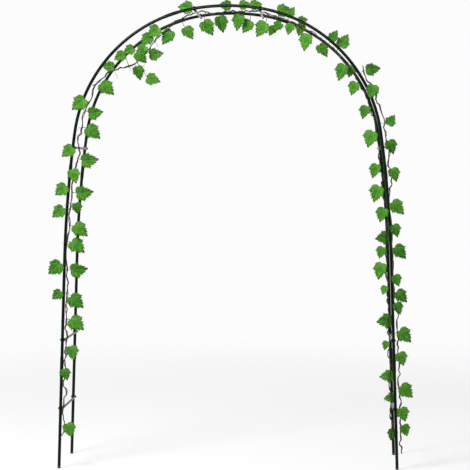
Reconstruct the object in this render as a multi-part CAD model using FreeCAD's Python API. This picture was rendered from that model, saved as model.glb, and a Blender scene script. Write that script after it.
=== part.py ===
"""Walk-through garden arch: two tubular steel hoops joined by cross rungs, with a leafy garland.

Millimetres. X runs across the opening, Y from the front hoop to the rear one and Z up.
The origin is on the ground in the middle of the four feet.

Every place along a hoop is a run: the length along its centre line from the left foot.
A place of the garland is (span, out, back): span is in hundredths of half a hoop, 0 at the
left foot, 100 at the crown and 200 at the right foot; out is the distance outside the hoop's
centre line, and back the distance behind the front hoop.
"""
import FreeCAD, Part
import math
import os
from FreeCAD import Vector

# Form of a hoop's centre line, in millimetres and degrees from the vertical.
HOOP_HEIGHT = 2392.0
FOOT_SPREAD = 1752.0
HOOP_SPACING = 400.0
LEG_LEAN = 1.7
HAUNCH_RADIUS = 6200.0
HAUNCH_END = 7.8
SHOULDER_END = 82.0
CROWN_RADIUS = 1070.0

# Hoop tube and its push-fit joints.
TUBE_RADIUS = 8.0
TUBE_WALL = 1.2
SOCKET_WALL = 0.95
SOCKET_DEPTH = 65.0
SOCKET_CONE = 8.0
SOCKET_SHOULDER = 2.0
SOCKET_BELOW_RUNG = 90.0
FIT_CLEARANCE = 0.15

# Cross rungs: tubes with flattened, rounded ends.
RUNG_RADIUS = 6.0
RUNG_WALL = 1.0
TAB_THICKNESS = 2.2
TAB_WIDTH = 17.4
TAB_LENGTH = 12.0
TAB_TAPER = 26.0
LOW_RUNG_RUN = 312.0
MIDDLE_RUNG_RUN = 668.0
HIGH_RUNG_RUN = 1665.0
TOP_RUNG_FROM_CROWN = 170.0

# Screws and nuts that hold the rungs.
SCREW_RADIUS = 2.95
SCREW_HEAD_RADIUS = 6.0
SCREW_HEAD_HEIGHT = 3.6
SCREW_HEAD_ROUND = 1.6
SCREW_END = 1.4
SCREW_HOLE_CLEARANCE = 0.25
NUT_ACROSS_FLATS = 10.0
NUT_HEIGHT = 5.0
SEAT_GAP = 0.2
FLAT_BOW = 1e-6

# Plastic plugs that close the lower ends of the legs.
CAP_HEIGHT = 11.0
CAP_SHANK = 18.0
CAP_ROUND = 1.5

# Garland: stems, leaf stalks and leaf blades.
STEM_RADIUS = 2.0
STEM_GAP = 0.25
STALK_RADIUS = 1.2
STALK_INTO_BLADE = 4.0
BLADE_THICKNESS = 1.2
BLADE_FOLD = 12.0
SMALL, MIDDLE, LARGE = 58.0, 70.0, 82.0
STEM_WAVE = 2.5
STEM_BEND = 0.45
RUNG_LANDING = 0.7

# Half of a leaf of unit length, from the stalk to the tip: (along the midrib, to the side).
HALF_LEAF = [(0, 0), (-0.10, 0.13), (-0.06, 0.36), (0.14, 0.38), (0.38, 0.46), (0.52, 0.28), (0.76, 0.20),
             (1, 0)]

# The points of one blade after another lean forward by these angles.
BLADE_TIPS = (2, -4, 3, -2, 1, -5)


def solve_hoop():
    """Straight leg length and shoulder radius that close the curve at the crown."""
    lean, haunch, shoulder = (math.radians(a) for a in (LEG_LEAN, HAUNCH_END, SHOULDER_END))
    across = FOOT_SPREAD / 2 - HAUNCH_RADIUS * (math.cos(lean) - math.cos(haunch))
    across -= CROWN_RADIUS * math.cos(shoulder)
    upward = HOOP_HEIGHT - HAUNCH_RADIUS * (math.sin(haunch) - math.sin(lean))
    upward -= CROWN_RADIUS * (1 - math.sin(shoulder))
    turn_in = math.cos(haunch) - math.cos(shoulder)
    turn_up = math.sin(shoulder) - math.sin(haunch)
    radius = (across - upward * math.tan(lean)) / (turn_in - turn_up * math.tan(lean))
    return (upward - radius * turn_up) / math.cos(lean), radius


LEG_LENGTH, SHOULDER_RADIUS = solve_hoop()


def lay_out_stretches():
    """Stretches of the left half from the ground: (first run, last run, first angle, radius or None)."""
    stretches = [(0.0, LEG_LENGTH, LEG_LEAN, None)]
    bends = ((HAUNCH_RADIUS, LEG_LEAN, HAUNCH_END), (SHOULDER_RADIUS, HAUNCH_END, SHOULDER_END),
             (CROWN_RADIUS, SHOULDER_END, 90.0))
    for radius, first, last in bends:
        start = stretches[-1][1]
        stretches.append((start, start + radius * math.radians(last - first), first, radius))
    return stretches


STRETCHES = lay_out_stretches()
HALF_RUN = STRETCHES[-1][1]
FULL_RUN = 2 * HALF_RUN


def left_half(run):
    """Centre-line point and angle from the vertical on the left half, as (x, z, angle)."""
    x, z = -FOOT_SPREAD / 2, 0.0
    for start, end, first, radius in STRETCHES:
        lean = math.radians(first)
        reach = min(run, end) - start
        if radius is None:
            x += reach * math.sin(lean)
            z += reach * math.cos(lean)
        else:
            turned = lean + reach / radius
            x += radius * (math.cos(lean) - math.cos(turned))
            z += radius * (math.sin(turned) - math.sin(lean))
            lean = turned
        if run <= end:
            break
    return x, z, lean


def hoop_frame(run):
    """Point of the centre line at a run, its direction of travel and its outward normal, at y = 0."""
    x, z, lean = left_half(min(run, FULL_RUN - run))
    along, out = Vector(math.sin(lean), 0, math.cos(lean)), Vector(-math.cos(lean), 0, math.sin(lean))
    if run > HALF_RUN:
        x, along, out = -x, Vector(along.x, 0, -along.z), Vector(-out.x, 0, out.z)
    return Vector(x, 0, z), along, out


def hoop_wire(first, last):
    """Centre line between two runs, as straight and arc edges that meet smoothly."""
    bounds = [stretch[1] for stretch in STRETCHES[:-1]]
    bounds += [FULL_RUN - bound for bound in reversed(bounds)]
    cuts = [first] + [bound for bound in bounds if first < bound < last] + [last]
    edges = []
    for start, end in zip(cuts, cuts[1:]):
        ends = [hoop_frame(run)[0] for run in (start, (start + end) / 2, end)]
        straight = end <= LEG_LENGTH or start >= FULL_RUN - LEG_LENGTH
        curve = Part.LineSegment(ends[0], ends[2]) if straight else Part.Arc(*ends)
        edges.append(curve.toShape())
    return Part.Wire(edges)


def ring(run, radius):
    centre, along, _ = hoop_frame(run)
    return Part.Wire(Part.makeCircle(radius, centre, along))


def wall_ring(run, outer, inner):
    """Flat ring between two radii, square to the hoop's centre line."""
    return Part.Face(ring(run, outer)).cut(Part.Face(ring(run, inner))).Faces[0]


def hoop_pipe(first, last, outer, inner):
    """Hollow stretch of tube along the hoop's centre line."""
    return hoop_wire(first, last).makePipe(wall_ring(first, outer, inner))


def hoop_cone(first, last, first_radius, last_radius):
    return Part.makeLoft([ring(first, first_radius), ring(last, last_radius)], True, True)


HOOPS = {"front": -HOOP_SPACING / 2, "rear": HOOP_SPACING / 2}
RUNG_RUNS = {"low": LOW_RUNG_RUN, "middle": MIDDLE_RUNG_RUN, "high": HIGH_RUNG_RUN,
             "top": HALF_RUN - TOP_RUNG_FROM_CROWN}
TAB_DROP = TUBE_RADIUS + SEAT_GAP + TAB_THICKNESS / 2


def mirrored(shape):
    """The same piece on the right half of the arch."""
    return shape.mirror(Vector(0, 0, 0), Vector(1, 0, 0))


def in_hoop(shape, y):
    return shape.translated(Vector(0, y, 0))


def screw_bar(run, radius, bottom, top):
    """Round bar square to the hoop, between two distances outside its centre line.

    It is turned so that its seam lies beside the hoop tube's own seam and never along it.
    """
    centre, _, out = hoop_frame(run)
    bar = Part.makeCylinder(radius, top - bottom, centre + out * bottom, out)
    return bar.rotated(centre, out, 90)


def hoop_tube(first, last, socket=True):
    """One tube of a hoop, with a belled socket on the upper end where it takes the next tube."""
    bore, swell = TUBE_RADIUS - TUBE_WALL, TUBE_RADIUS + FIT_CLEARANCE
    rim = swell + SOCKET_WALL
    if socket:
        bell = last - SOCKET_DEPTH - SOCKET_SHOULDER
        neck = bell - SOCKET_CONE
        cone = hoop_cone(neck, bell, TUBE_RADIUS, rim).cut(hoop_cone(neck, bell, bore, swell))
        tube = hoop_pipe(first, neck, TUBE_RADIUS, bore).multiFuse([cone, hoop_pipe(bell, last, rim, swell)])
    else:
        tube = hoop_pipe(first, last, TUBE_RADIUS, bore)
    runs = list(RUNG_RUNS.values()) + [FULL_RUN - run for run in RUNG_RUNS.values()]
    holes = [screw_bar(run, SCREW_RADIUS + SCREW_HOLE_CLEARANCE, -2 * TUBE_RADIUS, 2 * TUBE_RADIUS)
             for run in runs if first < run < last]
    return tube.cut(holes)


def hoop_tubes():
    """The seven tubes of each hoop: every socket opens upward, a little below the next rung."""
    rims = [RUNG_RUNS[height] - SOCKET_BELOW_RUNG for height in ("middle", "high", "top")]
    lower_ends = [CAP_HEIGHT] + [rim - SOCKET_DEPTH for rim in rims]
    nodes = {}
    for name, low, rim in zip(("leg_tube", "side_tube", "shoulder_tube"), lower_ends, rims):
        left = hoop_tube(low, rim)
        for hoop, y in HOOPS.items():
            nodes[f"{hoop}_{name}_left"] = in_hoop(left, y)
            nodes[f"{hoop}_{name}_right"] = in_hoop(mirrored(left), y)
    crown = hoop_tube(lower_ends[-1], FULL_RUN - lower_ends[-1], socket=False)
    nodes.update({f"{hoop}_crown_tube": in_hoop(crown, y) for hoop, y in HOOPS.items()})
    return nodes


def rung(run):
    """Tube between the hoops whose ends are pressed flat, rounded and drilled for the screws."""
    centre, along, out = hoop_frame(run)
    axis = centre - out * TAB_DROP
    half = HOOP_SPACING / 2
    waist = half - TAB_LENGTH - TAB_TAPER

    def section(y, half_flat, half_height, top, side):
        """Closed ring at y through four corners, with its faces bowed out to top and side."""
        middle = axis + Vector(0, y, 0)
        spots = [middle + along * (half_flat * a) + out * (half_height * b)
                 for a, b in ((-1, 1), (1, 1), (1, -1), (-1, -1), (-1, 1))]
        bows = [middle + out * top, middle + along * side, middle - out * top, middle - along * side]
        edges = []
        for start, bow, end in zip(spots, bows, spots[1:]):
            flat = (start + end - bow * 2).Length < FLAT_BOW
            edges.append((Part.LineSegment(start, end) if flat else Part.Arc(start, bow, end)).toShape())
        return Part.Wire(edges)

    def tab(sign):
        """Flat tongue with a half-round end about the screw, and the taper that leads to the tube."""
        eye = axis + Vector(0, sign * half, 0) - out * (TAB_THICKNESS / 2)
        edge = eye - Vector(0, sign * TAB_LENGTH, 0)
        tip = eye + Vector(0, sign * TAB_WIDTH / 2, 0)
        side = along * (TAB_WIDTH / 2)
        outline = Part.Wire([Part.LineSegment(edge - side, eye - side).toShape(),
                             Part.Arc(eye - side, tip, eye + side).toShape(),
                             Part.LineSegment(eye + side, edge + side).toShape(),
                             Part.LineSegment(edge + side, edge - side).toShape()])
        tongue = Part.Face(outline).extrude(out * TAB_THICKNESS)
        flat, corner = TAB_THICKNESS / 2, RUNG_RADIUS / math.sqrt(2)
        pressed = section(sign * (half - TAB_LENGTH), TAB_WIDTH / 2 - flat, flat, flat, TAB_WIDTH / 2)
        round_end = section(sign * waist, corner, corner, RUNG_RADIUS, RUNG_RADIUS)
        taper = Part.makeLoft([pressed, round_end], True, True)
        return [tongue, taper]

    start = axis - Vector(0, waist, 0)
    middle, bore = (Part.makeCylinder(radius, 2 * waist, start, Vector(0, 1, 0))
                    for radius in (RUNG_RADIUS, RUNG_RADIUS - RUNG_WALL))
    hole = screw_bar(run, SCREW_RADIUS + SCREW_HOLE_CLEARANCE, -2 * TAB_DROP, 0)
    return middle.multiFuse(tab(1) + tab(-1)).cut([bore] + [in_hoop(hole, y) for y in HOOPS.values()])


NUT_SEAT = -(TUBE_RADIUS + 2 * SEAT_GAP + TAB_THICKNESS)


def screw(run):
    """Pan-head screw from the outside of the hoop, through tube and tab."""
    centre, _, out = hoop_frame(run)
    seat = TUBE_RADIUS + SEAT_GAP
    head = Part.makeCylinder(SCREW_HEAD_RADIUS, SCREW_HEAD_HEIGHT, centre + out * seat, out)
    rim = max(head.Edges, key=lambda edge: (edge.CenterOfMass - centre).dot(out))
    head = head.makeFillet(SCREW_HEAD_ROUND, [rim])
    return head.fuse(screw_bar(run, SCREW_RADIUS, NUT_SEAT - NUT_HEIGHT - SCREW_END, seat))


def nut(run):
    """Hexagon nut on the inner side of the tab, with two corners along the rung."""
    centre, along, out = hoop_frame(run)
    corner = NUT_ACROSS_FLATS / math.sqrt(3)
    face = centre + out * (NUT_SEAT - NUT_HEIGHT)
    turns = [math.radians(60 * k) for k in range(7)]
    outline = [face + Vector(0, corner * math.cos(t), 0) + along * (corner * math.sin(t)) for t in turns]
    body = Part.Face(Part.makePolygon(outline)).extrude(out * NUT_HEIGHT)
    return body.cut(screw_bar(run, SCREW_RADIUS + FIT_CLEARANCE, NUT_SEAT - 2 * NUT_HEIGHT, 0))


def foot_cap():
    """Plug pressed into the left leg's lower end, with a flush head cut level at the ground."""
    centre, up, _ = hoop_frame(0)
    slack = TUBE_RADIUS
    head = Part.makeCylinder(TUBE_RADIUS, CAP_HEIGHT + slack, centre - up * slack, up)
    below = centre + Vector(-2 * slack, -2 * slack, -4 * slack)
    head = head.cut(Part.makeBox(4 * slack, 4 * slack, 4 * slack, below))
    sole = min(head.Edges, key=lambda edge: edge.CenterOfMass.z)
    head = head.makeFillet(CAP_ROUND, [sole])
    shank_radius = TUBE_RADIUS - TUBE_WALL - FIT_CLEARANCE
    return head.fuse(Part.makeCylinder(shank_radius, CAP_SHANK, centre + up * CAP_HEIGHT, up))


def garland_point(place):
    span, out, back = place
    centre, _, outward = hoop_frame(span / 100 * HALF_RUN)
    return centre + outward * out + Vector(0, HOOPS["front"] + back, 0)


def stem_line(route):
    """Straight runs through the route's points, with an arc as large as the runs allow at each."""
    points = [garland_point(place) for place in route]
    edges, last = [], points[0]
    for before, corner, after in zip(points, points[1:], points[2:]):
        away, onward = before - corner, after - corner
        reach = STEM_BEND * min(away.Length, onward.Length)
        away.normalize()
        onward.normalize()
        start, end = corner + away * reach, corner + onward * reach
        half_turn = (math.pi - away.getAngle(onward)) / 2
        bisector = (away + onward).normalize()
        radius = reach / math.tan(half_turn)
        crest = corner + bisector * (radius / math.cos(half_turn) - radius)
        edges += [Part.LineSegment(last, start).toShape(), Part.Arc(start, crest, end).toShape()]
        last = end
    edges.append(Part.LineSegment(last, points[-1]).toShape())
    return Part.Wire(edges)


def stem(line):
    first = line.Edges[0]
    start = first.FirstParameter
    section = Part.makeCircle(STEM_RADIUS, first.valueAt(start), first.tangentAt(start))
    return line.makePipe(Part.Face(Part.Wire(section)))


def leaf(line, place, swing, turn, length, tip):
    """Five-lobed blade folded along its midrib, on a straight stalk that ends at the stem.

    swing is the midrib's angle from straight down, towards +X. turn rolls the blade about its
    midrib, with the +X side forward, and tip leans the leaf's point forward.
    """
    base = garland_point(place)
    swing, tip, turn = math.radians(swing), math.radians(tip), math.radians(turn)
    midrib = Vector(math.sin(swing) * math.cos(tip), -math.sin(tip), -math.cos(swing) * math.cos(tip))
    flat_side = Vector(math.cos(swing), 0, math.sin(swing))
    side = flat_side * math.cos(turn) + midrib.cross(flat_side) * math.sin(turn)
    top_face = midrib.cross(side)
    halves = []
    for hand in (1, -1):
        fold = math.radians(BLADE_FOLD)
        reach = side * (hand * math.cos(fold)) + top_face * math.sin(fold)
        lift = top_face * math.cos(fold) - side * (hand * math.sin(fold))
        outline = [base + midrib * (length * a) + reach * (length * b) for a, b in HALF_LEAF]
        halves.append(Part.Face(Part.makePolygon(outline + outline[:1])).extrude(lift * BLADE_THICKNESS))
    join = base + midrib * STALK_INTO_BLADE + top_face * (BLADE_THICKNESS / 2)
    root = line.distToShape(Part.Vertex(join))[1][0][0]
    direction = (join - root).normalize()
    root = root + direction * (STEM_RADIUS + STEM_GAP)
    stalk = Part.makeCylinder(STALK_RADIUS, (join - root).Length, root, direction)
    return halves[0].multiFuse([halves[1], stalk])


# Where a stem lies against a hoop tube, or over the top of a rung.
HUG = TUBE_RADIUS + STEM_RADIUS + STEM_GAP
HUG_ANGLE = math.radians(30)
INNER_HUG = (-HUG * math.cos(HUG_ANGLE), -HUG * math.sin(HUG_ANGLE))
OUTER_HUG = (HUG * math.sin(HUG_ANGLE), -HUG * math.cos(HUG_ANGLE))
OVER_RUNG = RUNG_RADIUS + STEM_RADIUS + 2 * STEM_GAP - TAB_DROP
TOP_RUNG_SPAN = 100 * (1 - TOP_RUNG_FROM_CROWN / HALF_RUN)


def waves(first, last, out, back, swell):
    """Stretch of stem that weaves in and out by the swell, with a crest at every STEM_WAVE of span."""
    count = round((last - first) / STEM_WAVE)
    spans = [first + (last - first) * k / count for k in range(count + 1)]
    return [(span, out + swell * (-1) ** k, back) for k, span in enumerate(spans)]


def over_rung(span, back):
    """Two points that carry a stem level across the top of a rung."""
    return [(span - RUNG_LANDING, OVER_RUNG, back), (span + RUNG_LANDING, OVER_RUNG, back)]


ROUTES = {
    "left": waves(6, 36, -21, -14, 6) + [(38.5, *INNER_HUG), (39.5, *INNER_HUG)] + waves(42, 52, -20, -14, 6)
            + waves(54.5, 72, -32, -13, 7),
    "crown": [(70, -15, 18), (74, -45, 60), (79, -110, 185), (84, -60, 240), (90, -15, 215)]
             + over_rung(TOP_RUNG_SPAN, 195) + [(98, -16, 200), (101, -8, 210)]
             + over_rung(200 - TOP_RUNG_SPAN, 190) + [(110, -12, 160), (114, -8, 125)],
    "right_inner": waves(112, 149.5, -22, 17, 6) + [(152.5, *INNER_HUG), (154, *INNER_HUG)]
                   + waves(157, 194.5, -23, 15, 5),
    "right_outer": waves(127, 147, 24, -11, 8) + [(151, *OUTER_HUG), (153, *OUTER_HUG)]
                   + waves(157, 169.5, 8, -14, 3) + waves(172, 197, 22, -11, 6),
}

# How a leaf sits on its stem: (out, back) from the stem to its base, then swing and turn as on the
# right half of the arch. in_ leaves lie towards the opening and out_ leaves away from it.
ATTITUDES = {
    "in_near": (-15, 5, -20, 26), "in_hang": (-26, 4, -15, 30), "in_slant": (-28, 4, -50, 22),
    "in_level": (-28, 10, -95, -18), "in_turned": (-28, 4, 35, -22), "in_low": (-58, 6, -35, 20),
    "in_long": (-105, 20, -75, 15), "behind_hang": (10, 12, -15, 0), "behind_level": (12, 11, -80, 0),
    "behind_up": (36, 8, 150, -15), "front": (6, -11, -15, 0), "across": (33, -11, 50, 0),
    "out_hang": (10, -7, 20, -20), "out_slant": (18, -4, 45, -22), "out_level": (20, -6, 95, 18),
    "out_up": (22, -8, 150, -22), "out_long": (72, -10, 60, 10), "top_level": (30, -14, 95, 0),
    "over": (34, -12, -45, 20),
}

# Leaves by the stretch of garland that they grow on: (stem, [(span, attitude, length)]).
LEAVES = {
    "leaves_left_low": ("left", [
        (8, "in_near", MIDDLE), (18, "front", SMALL), (22, "in_hang", MIDDLE), (27, "in_slant", LARGE),
        (31, "in_slant", LARGE), (32, "across", SMALL)]),
    "leaves_left_middle": ("left", [
        (36, "in_level", LARGE), (37, "across", LARGE), (41, "in_slant", LARGE), (44, "in_slant", LARGE),
        (47, "across", MIDDLE), (48, "in_hang", SMALL), (50, "in_level", LARGE), (51, "across", MIDDLE)]),
    "leaves_left_high": ("left", [
        (54, "front", MIDDLE), (56, "in_level", LARGE), (58, "across", MIDDLE), (62, "in_slant", LARGE),
        (65, "in_level", MIDDLE), (67, "across", LARGE)]),
    "leaves_shoulder_left": ("crown", [
        (71, "in_slant", LARGE), (75, "out_level", LARGE), (78, "out_long", SMALL), (78, "in_hang", MIDDLE),
        (78, "in_long", MIDDLE), (80, "over", MIDDLE), (80, "out_long", SMALL), (82, "out_slant", MIDDLE),
        (82, "in_level", MIDDLE), (84, "across", MIDDLE), (86, "across", MIDDLE),
        (88, "in_turned", LARGE)]),
    "leaves_crown_left": ("crown", [
        (91, "in_low", MIDDLE), (93, "top_level", MIDDLE), (95, "in_low", LARGE), (98, "in_hang", LARGE),
        (100, "top_level", MIDDLE)]),
    "leaves_crown_right": ("crown", [
        (102, "in_hang", LARGE), (102, "top_level", SMALL), (104, "in_low", MIDDLE),
        (104, "top_level", MIDDLE), (107, "in_low", LARGE), (109, "top_level", MIDDLE),
        (109, "in_low", SMALL), (110, "in_slant", SMALL), (111, "out_up", SMALL), (112, "in_near", SMALL),
        (113, "out_level", SMALL)]),
    "leaves_shoulder_right": ("right_inner", [
        (114, "behind_hang", SMALL), (116, "in_hang", LARGE), (119, "in_turned", MIDDLE),
        (120, "behind_up", SMALL), (122, "behind_up", MIDDLE), (125, "in_near", LARGE),
        (126, "behind_hang", SMALL), (129, "in_near", LARGE)]),
    "leaves_right_inner_high": ("right_inner", [
        (134, "in_near", MIDDLE), (139, "in_near", LARGE), (145, "in_near", MIDDLE),
        (149, "in_near", LARGE), (153, "in_near", MIDDLE), (158, "behind_level", MIDDLE),
        (160, "in_near", SMALL)]),
    "leaves_right_inner_low": ("right_inner", [
        (163, "in_hang", LARGE), (167, "in_near", MIDDLE), (173, "behind_level", LARGE),
        (177, "in_near", MIDDLE), (183, "behind_level", MIDDLE), (187, "behind_level", MIDDLE),
        (193, "behind_hang", SMALL)]),
    "leaves_right_outer_high": ("right_outer", [
        (128, "out_level", MIDDLE), (131, "front", MIDDLE), (138, "out_up", MIDDLE),
        (141, "out_hang", MIDDLE), (146, "out_hang", MIDDLE), (152, "out_slant", LARGE),
        (156, "out_hang", MIDDLE), (160, "out_slant", LARGE)]),
    "leaves_right_outer_low": ("right_outer", [
        (165, "out_hang", MIDDLE), (168, "out_slant", LARGE), (170, "out_hang", MIDDLE),
        (175, "out_slant", LARGE), (179, "out_hang", LARGE), (185, "out_slant", LARGE),
        (189, "out_hang", MIDDLE), (192, "out_hang", SMALL)]),
}


def leaf_place(route, span, out, back):
    """Place at a distance out and back from a stem's route, between the two points about the span."""
    before, after = next(pair for pair in zip(route, route[1:]) if span <= pair[1][0])
    part = (span - before[0]) / (after[0] - before[0])
    on_stem = [low + (high - low) * part for low, high in zip(before, after)]
    return span, on_stem[1] + out, on_stem[2] + back


def garland():
    """Stems and their leaves. Leaves of one stretch share a node, as separate solids."""
    lines = {name: stem_line(route) for name, route in ROUTES.items()}
    nodes = {"garland_stem_" + name: stem(line) for name, line in lines.items()}
    count = 0
    for node, (strand, rows) in LEAVES.items():
        leaves = []
        for span, attitude, length in rows:
            out, back, swing, turn = ATTITUDES[attitude]
            hand = 1 if span > 100 else -1
            tip = BLADE_TIPS[count % len(BLADE_TIPS)]
            place = leaf_place(ROUTES[strand], span, out, back)
            leaves.append(leaf(lines[strand], place, hand * swing, hand * turn, length, tip))
            count += 1
        nodes[node] = Part.makeCompound(leaves)
    return nodes


def rungs_and_fasteners():
    """Four rungs on each side, and a screw and a nut at each of their ends."""
    nodes, screws, nuts = {}, [], []
    for height, run in RUNG_RUNS.items():
        left = rung(run)
        nodes[f"rung_{height}_left"] = left
        nodes[f"rung_{height}_right"] = mirrored(left)
        for y in HOOPS.values():
            pair = [in_hoop(piece, y) for piece in (screw(run), nut(run))]
            screws += [pair[0], mirrored(pair[0])]
            nuts += [pair[1], mirrored(pair[1])]
    nodes["rung_screws"] = Part.makeCompound(screws)
    nodes["rung_nuts"] = Part.makeCompound(nuts)
    return nodes


def main():
    nodes = hoop_tubes()
    nodes.update(rungs_and_fasteners())
    for hoop, y in HOOPS.items():
        cap = in_hoop(foot_cap(), y)
        nodes.update({f"foot_cap_{hoop}_left": cap, f"foot_cap_{hoop}_right": mirrored(cap)})
    nodes.update(garland())
    os.makedirs("parts", exist_ok=True)
    for name, shape in nodes.items():
        shape.exportStep(f"parts/{name}.step")
        print(f"{name}: {len(shape.Solids)} solids, {shape.Volume / 1000:.1f} cm3, valid {shape.isValid()}")
    box = Part.makeCompound(list(nodes.values())).BoundBox
    print(f"{len(nodes)} nodes, box x {box.XMin:.1f} to {box.XMax:.1f}, y {box.YMin:.1f} to {box.YMax:.1f},",
          f"z {box.ZMin:.2f} to {box.ZMax:.1f}, half hoop {HALF_RUN:.1f}, leg {LEG_LENGTH:.1f}")


main()
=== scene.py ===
"""Looks of a walk-through garden arch: dark green enamelled hoops and rungs, and an artificial vine garland.

Metres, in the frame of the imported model. X runs across the opening, Y from the front hoop to the
rear one and Z up. The tubes, rungs and foot plugs are the model's own solids with a finish. The
stems, stalks, leaves, screws and nuts are surfaces worked out here, each in the place of its solid.
Each stem gets a second strand, and some of its nodes a tendril.
"""
import math

import bpy
import numpy as np
from mathutils.bvhtree import BVHTree
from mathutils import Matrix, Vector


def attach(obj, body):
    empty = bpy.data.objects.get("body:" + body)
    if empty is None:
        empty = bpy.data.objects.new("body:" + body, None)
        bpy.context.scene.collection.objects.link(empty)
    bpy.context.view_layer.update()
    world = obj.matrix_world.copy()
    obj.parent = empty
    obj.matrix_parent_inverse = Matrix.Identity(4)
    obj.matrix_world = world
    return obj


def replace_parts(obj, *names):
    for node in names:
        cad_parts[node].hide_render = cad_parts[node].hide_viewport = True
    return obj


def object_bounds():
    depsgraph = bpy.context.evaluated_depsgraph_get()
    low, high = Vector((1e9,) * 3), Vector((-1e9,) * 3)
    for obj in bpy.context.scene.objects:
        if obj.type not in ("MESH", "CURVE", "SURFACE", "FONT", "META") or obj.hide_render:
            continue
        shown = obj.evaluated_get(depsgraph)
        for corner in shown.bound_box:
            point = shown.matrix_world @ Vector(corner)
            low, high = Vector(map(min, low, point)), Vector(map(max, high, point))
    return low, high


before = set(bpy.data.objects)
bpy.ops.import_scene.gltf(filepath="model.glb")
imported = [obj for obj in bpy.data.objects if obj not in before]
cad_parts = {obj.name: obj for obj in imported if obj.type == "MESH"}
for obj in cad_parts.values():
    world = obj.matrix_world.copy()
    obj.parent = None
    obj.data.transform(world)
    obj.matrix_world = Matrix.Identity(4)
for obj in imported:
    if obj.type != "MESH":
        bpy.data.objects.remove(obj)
solid_low, solid_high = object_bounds()
chance = np.random.default_rng(24)

MM = 0.001

# How close two points of a solid count as one, and how close found points of a stem or a tip do.
WELD = 0.002 * MM
CELL = 0.1 * MM
SAME_SPOT = 0.3 * MM

# Garland stems, as the solids have them, and how their tape, swellings and bends vary from that.
STEM_RADIUS = 2.0 * MM
STEM_RING_CORNERS = 20
STEM_STEP = 2.5 * MM
STEM_SIDES = 12
STEM_GAP = 0.25 * MM
STEM_THINNER = 0.95
STEM_THICKER = 0.40
STEM_ROUGH = 0.05
STEM_WANDER = 5.0 * MM
STEM_HELD = 14.0 * MM
DRIFT_STEPS = 8
TAPE_PITCH = 13.0 * MM
TAPE_STEP = 0.13
NODE_SWELL = 0.33
NODE_REACH = 5.0 * MM

# Second strands: how far they stand off their stems, and how fast they turn from knot to knot.
STRAND_RADIUS = 1.8 * MM
STRAND_REACH = 8.0 * MM
STRAND_REACHES = (0.2, 1.0)
STRAND_TURNS = (0.4, 2.2)
STRAND_KNOT = 12
STRAND_END = 12

# Shares of the spare room about a stem that its wandering, its thickness and its strand may take.
WANDER_ROOM = 0.35
THICKER_ROOM = 0.20
STRAND_ROOM = 0.50

# Leaf stalks: each end swells by a share of the radius, over a share of the length.
STALK_RADIUS = 1.5 * MM
STALK_SIDES = 8
STALK_RINGS = 14
STALK_INTO_BLADE = 4.0 * MM
STALK_STRAIGHT = 12.0 * MM
STALK_BOW = 0.10
STALK_FOOT = (0.70, 0.10)
STALK_TOP = (0.25, 0.12)

# Leaf blades, in shares of the leaf's length from the stalk to the tip, and degrees from the midrib.
BASAL_LOBES = 0.10
BLADE_FOLD = math.radians(12)
BLADE_COLUMNS = 180
BLADE_RINGS = 8
RING_SPREAD = 0.85
BLADE_THICKNESS = 0.7 * MM
BLADE_LIFT = 0.9 * MM
BLADE_REACH = 120 * MM
BLADE_NARROWER = 0.09
BLADE_SKEW = 0.04
FOLD_ROUND = 0.03
BULGE = 0.016
BULGE_WIDTH = 0.05
RIPPLE = 0.014
RIPPLES = 4
CURL = 0.35
CURL_FROM = 0.45
GROOVE_DEPTH = 0.25 * MM
GROOVE_WIDTH = 1.3 * MM
RIDGE_SHARE = 1.6
MARGIN_THINNER = 0.55
WEAVE = 2 * math.pi / (0.8 * MM)
LOBE_ANGLES = (0.0, 50.0, 98.0)
MARGIN_ANGLES = (0, 12, 26, 38, 52, 68, 84, 100, 124, 150, 172, 180)
MARGIN_RADII = (1.0, 0.88, 0.80, 0.64, 0.76, 0.56, 0.53, 0.42, 0.26, 0.14, 0.08, 0.03)
TOOTH_ANGLE = 13.0
TOOTH_DEPTH = 0.20
TEETH_ANGLES = (0, 12, 152, 172)

# How a blade that would meet something is drawn smaller: by what steps, and down to what share.
BOX_MARGIN = 0.005
SMALLER_STEP = 0.03
SMALLEST = 0.6

# Screws and nuts, as the solids have them, with the thread and the recess that those leave out.
HEAD_RADIUS = 6.0 * MM
HEAD_HEIGHT = 3.6 * MM
HEAD_ROUND = 1.8 * MM
HEAD_EDGE = 0.15 * MM
FILLET = 0.1 * MM
TOP_RINGS = 12
ROUND_RINGS = 6
SHANK_RADIUS = 2.95 * MM
THREAD_PITCH = 1.0 * MM
THREAD_DEPTH = 0.45 * MM
THREAD_RINGS = 4
POINT_LENGTH = 1.2 * MM
POINT_SHARE = 0.6
SCREW_SIDES = 48
RECESS_DEPTH = 1.7 * MM
RECESS_ARM = 3.1 * MM
RECESS_END = 0.5 * MM
RECESS_WIDTH = 0.55 * MM
RECESS_SLOPE = 0.6
NUT_FLAT = 5.0 * MM
NUT_BORE = 3.05 * MM
NUT_LIP = 0.35 * MM
NUT_CHAMFER = math.radians(30)
NUT_CHAMFER_FROM = 0.97
NUT_COLUMNS = 72

# Tendrils: thin curls that leave the stems.
TENDRIL_RADIUS = 1.1 * MM
TENDRIL_THINNER = 0.6
TENDRIL_RINGS = 40
TENDRIL_SIDES = 6
TENDRIL_EVERY = 2
TENDRIL_TOP = 2.3
TENDRIL_REACH = (20 * MM, 36 * MM)
TENDRIL_COIL = 6 * MM
TENDRIL_TURN = 11.0

# Studio: the white of the room, and the camera.
ROOM_WHITE = 0.975
ROOM_LIGHT = 0.55
FLOOR_SHADOW = 0.36
FLOOR_FADE = (1.6, 6.0)
FLOOR_SIZE = 60.0
CAMERA_LENS = 116.23
CAMERA_SENSOR = 36.0
CAMERA_SHIFT = (-0.12, -0.08)
CAMERA_PLACE = (0.4945, -8.0127, 1.5763)
CAMERA_TURN = (90 - 1.2487, -0.017, 1.2102)


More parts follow.
